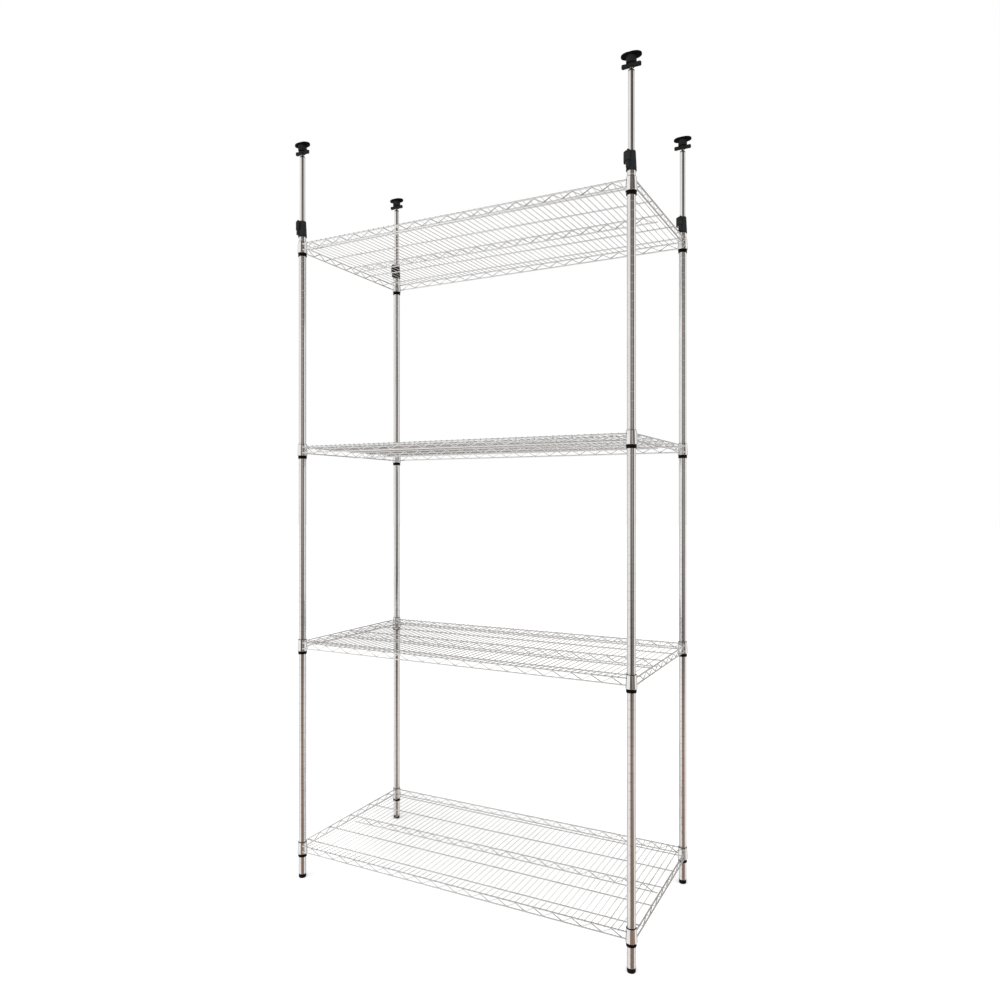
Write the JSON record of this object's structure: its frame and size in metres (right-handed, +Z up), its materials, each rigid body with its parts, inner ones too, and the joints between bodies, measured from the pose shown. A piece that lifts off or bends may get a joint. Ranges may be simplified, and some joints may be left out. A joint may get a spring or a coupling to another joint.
{
  "type": "wire shelving unit",
  "caption": "Wire shelving unit: welded wire shelves on clip sleeves along grooved posts, with telescopic poles whose screw jacks press pads against the ceiling.",
  "frame": {"origin": "on the floor, midway between the four feet", "axes": "+X along the long side to the right, +Y to the back, +Z up along the posts"},
  "size_m": [1.26, 0.6137, 2.5796],
  "materials": {
    "wire_chrome": "bright plated wire",
    "post_chrome": "polished plated tube",
    "pole_chrome": "polished plated tube",
    "plug_metal": "plated casting",
    "bolt_steel": "plated thread",
    "sleeve_plastic": "black moulded",
    "clamp_plastic": "black moulded, satin",
    "handle_plastic": "black moulded, satin",
    "pad_rubber": "black rubber-faced",
    "foot_plastic": "black moulded",
    "insert_plastic": "grey moulded"
  },
  "bodies": {
    "frame": {"bottom_shelf": "wire_chrome", "second_shelf": "wire_chrome", "third_shelf": "wire_chrome", "top_shelf": "wire_chrome", "post_front_left": "post_chrome", "foot_insert_front_left": "insert_plastic", "clamp_body_front_left": "clamp_plastic", "sleeve_bottom_front_left": "sleeve_plastic", "sleeve_second_front_left": "sleeve_plastic", "sleeve_third_front_left": "sleeve_plastic", "sleeve_top_front_left": "sleeve_plastic", "post_front_right": "post_chrome", "foot_insert_front_right": "insert_plastic", "clamp_body_front_right": "clamp_plastic", "sleeve_bottom_front_right": "sleeve_plastic", "sleeve_second_front_right": "sleeve_plastic", "sleeve_third_front_right": "sleeve_plastic", "sleeve_top_front_right": "sleeve_plastic", "post_back_left": "post_chrome", "foot_insert_back_left": "insert_plastic", "clamp_body_back_left": "clamp_plastic", "sleeve_bottom_back_left": "sleeve_plastic", "sleeve_second_back_left": "sleeve_plastic", "sleeve_third_back_left": "sleeve_plastic", "sleeve_top_back_left": "sleeve_plastic", "post_back_right": "post_chrome", "foot_insert_back_right": "insert_plastic", "clamp_body_back_right": "clamp_plastic", "sleeve_bottom_back_right": "sleeve_plastic", "sleeve_second_back_right": "sleeve_plastic", "sleeve_third_back_right": "sleeve_plastic", "sleeve_top_back_right": "sleeve_plastic"},
    "foot_body_front_left": {"foot_front_left": "foot_plastic"},
    "lever_body_front_left": {"clamp_lever_front_left": "clamp_plastic"},
    "pole_body_front_left": {"inner_pole_front_left": "pole_chrome", "pole_plug_front_left": "plug_metal"},
    "pad_body_front_left": {"ceiling_pad_front_left": "pad_rubber"},
    "jack_body_front_left": {"jack_handle_front_left": "handle_plastic", "jack_bolt_front_left": "bolt_steel"},
    "foot_body_front_right": {"foot_front_right": "foot_plastic"},
    "lever_body_front_right": {"clamp_lever_front_right": "clamp_plastic"},
    "pole_body_front_right": {"inner_pole_front_right": "pole_chrome", "pole_plug_front_right": "plug_metal"},
    "pad_body_front_right": {"ceiling_pad_front_right": "pad_rubber"},
    "jack_body_front_right": {"jack_handle_front_right": "handle_plastic", "jack_bolt_front_right": "bolt_steel"},
    "foot_body_back_left": {"foot_back_left": "foot_plastic"},
    "lever_body_back_left": {"clamp_lever_back_left": "clamp_plastic"},
    "pole_body_back_left": {"inner_pole_back_left": "pole_chrome", "pole_plug_back_left": "plug_metal"},
    "pad_body_back_left": {"ceiling_pad_back_left": "pad_rubber"},
    "jack_body_back_left": {"jack_handle_back_left": "handle_plastic", "jack_bolt_back_left": "bolt_steel"},
    "foot_body_back_right": {"foot_back_right": "foot_plastic"},
    "lever_body_back_right": {"clamp_lever_back_right": "clamp_plastic"},
    "pole_body_back_right": {"inner_pole_back_right": "pole_chrome", "pole_plug_back_right": "plug_metal"},
    "pad_body_back_right": {"ceiling_pad_back_right": "pad_rubber"},
    "jack_body_back_right": {"jack_handle_back_right": "handle_plastic", "jack_bolt_back_right": "bolt_steel"}
  },
  "joints": [
    {"name": "pole_slide_front_left", "type": "slide", "parent": "frame", "child": "pole_body_front_left", "axis": [0, 0, 1], "range_m": [-0.2, 0.24]},
    {"name": "pad_lift_front_left", "type": "slide", "parent": "pole_body_front_left", "child": "pad_body_front_left", "axis": [0, 0, 1], "range_m": [-0.0064, 0.019]},
    {"name": "jack_turn_front_left", "type": "hinge", "parent": "pad_body_front_left", "child": "jack_body_front_left", "pos_m": [-0.5995, -0.2865, 2.54765], "axis": [0, 0, 1], "range_deg": [-1860, 5490]},
    {"name": "lever_swing_front_left", "type": "hinge", "parent": "frame", "child": "lever_body_front_left", "pos_m": [-0.61863, -0.28817, 2.2884], "axis": [0, 0, -1], "range_deg": [0, 100]},
    {"name": "foot_level_front_left", "type": "slide", "parent": "frame", "child": "foot_body_front_left", "axis": [0, 0, 1], "range_m": [-0.01, 0]},
    {"name": "pole_slide_front_right", "type": "slide", "parent": "frame", "child": "pole_body_front_right", "axis": [0, 0, 1], "range_m": [-0.2, 0.24]},
    {"name": "pad_lift_front_right", "type": "slide", "parent": "pole_body_front_right", "child": "pad_body_front_right", "axis": [0, 0, 1], "range_m": [-0.0064, 0.019]},
    {"name": "jack_turn_front_right", "type": "hinge", "parent": "pad_body_front_right", "child": "jack_body_front_right", "pos_m": [0.5995, -0.2865, 2.54765], "axis": [0, 0, 1], "range_deg": [-1860, 5490]},
    {"name": "lever_swing_front_right", "type": "hinge", "parent": "frame", "child": "lever_body_front_right", "pos_m": [0.58037, -0.28817, 2.2884], "axis": [0, 0, -1], "range_deg": [0, 100]},
    {"name": "foot_level_front_right", "type": "slide", "parent": "frame", "child": "foot_body_front_right", "axis": [0, 0, 1], "range_m": [-0.01, 0]},
    {"name": "pole_slide_back_left", "type": "slide", "parent": "frame", "child": "pole_body_back_left", "axis": [0, 0, 1], "range_m": [-0.2, 0.24]},
    {"name": "pad_lift_back_left", "type": "slide", "parent": "pole_body_back_left", "child": "pad_body_back_left", "axis": [0, 0, 1], "range_m": [-0.0064, 0.019]},
    {"name": "jack_turn_back_left", "type": "hinge", "parent": "pad_body_back_left", "child": "jack_body_back_left", "pos_m": [-0.5995, 0.2865, 2.54765], "axis": [0, 0, 1], "range_deg": [-1860, 5490]},
    {"name": "lever_swing_back_left", "type": "hinge", "parent": "frame", "child": "lever_body_back_left", "pos_m": [-0.61863, 0.28483, 2.2884], "axis": [0, 0, -1], "range_deg": [0, 100]},
    {"name": "foot_level_back_left", "type": "slide", "parent": "frame", "child": "foot_body_back_left", "axis": [0, 0, 1], "range_m": [-0.01, 0]},
    {"name": "pole_slide_back_right", "type": "slide", "parent": "frame", "child": "pole_body_back_right", "axis": [0, 0, 1], "range_m": [-0.2, 0.24]},
    {"name": "pad_lift_back_right", "type": "slide", "parent": "pole_body_back_right", "child": "pad_body_back_right", "axis": [0, 0, 1], "range_m": [-0.0064, 0.019]},
    {"name": "jack_turn_back_right", "type": "hinge", "parent": "pad_body_back_right", "child": "jack_body_back_right", "pos_m": [0.5995, 0.2865, 2.54765], "axis": [0, 0, 1], "range_deg": [-1860, 5490]},
    {"name": "lever_swing_back_right", "type": "hinge", "parent": "frame", "child": "lever_body_back_right", "pos_m": [0.58037, 0.28483, 2.2884], "axis": [0, 0, -1], "range_deg": [0, 100]},
    {"name": "foot_level_back_right", "type": "slide", "parent": "frame", "child": "foot_body_back_right", "axis": [0, 0, 1], "range_m": [-0.01, 0]}
  ],
  "couplings": [
    {"joint": "jack_turn_front_left", "follows": "pad_lift_front_left", "rad_per_m": 5026.5},
    {"joint": "jack_turn_front_right", "follows": "pad_lift_front_right", "rad_per_m": 5026.5},
    {"joint": "jack_turn_back_left", "follows": "pad_lift_back_left", "rad_per_m": 5026.5},
    {"joint": "jack_turn_back_right", "follows": "pad_lift_back_right", "rad_per_m": 5026.5}
  ]
}
